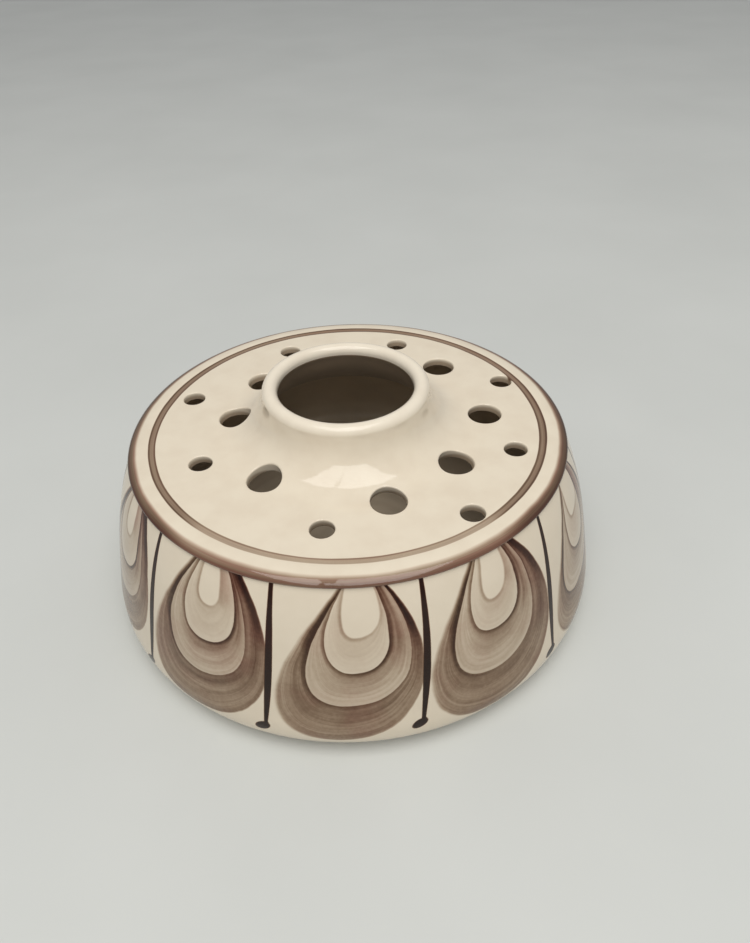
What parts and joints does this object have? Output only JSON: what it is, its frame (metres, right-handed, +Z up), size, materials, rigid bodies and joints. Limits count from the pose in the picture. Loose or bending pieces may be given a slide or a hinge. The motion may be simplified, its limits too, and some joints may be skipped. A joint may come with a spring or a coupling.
{
  "type": "flower frog",
  "caption": "Low bellied glazed ceramic flower frog with a pierced deck, a raised central neck and hand-painted petal decoration.",
  "frame": {"origin": "centre of the underside of the foot ring", "axes": "+Z up along the axis of the vessel; -Y is the front, the side between two painted posts that faces the viewer; +X to the viewer's right"},
  "size_m": [0.174, 0.174, 0.0803],
  "materials": {
    "bare_clay": "unglazed, matt and slightly gritty",
    "interior_glaze": "thin satin liner glaze over buff clay",
    "painted_glaze": "glossy clear glaze over cream slip with brushed brown oxide petals",
    "banded_glaze": "glossy cream glaze with a brushed brown band that fades upward",
    "cream_glaze": "glossy cream glaze, faint mottling and a few iron specks"
  },
  "bodies": {
    "root": {"foot_ring": "bare_clay", "floor": "interior_glaze", "body_wall": "painted_glaze", "rim_bead": "banded_glaze", "pierced_deck": "cream_glaze", "neck_collar": "cream_glaze"}
  },
  "joints": []
}
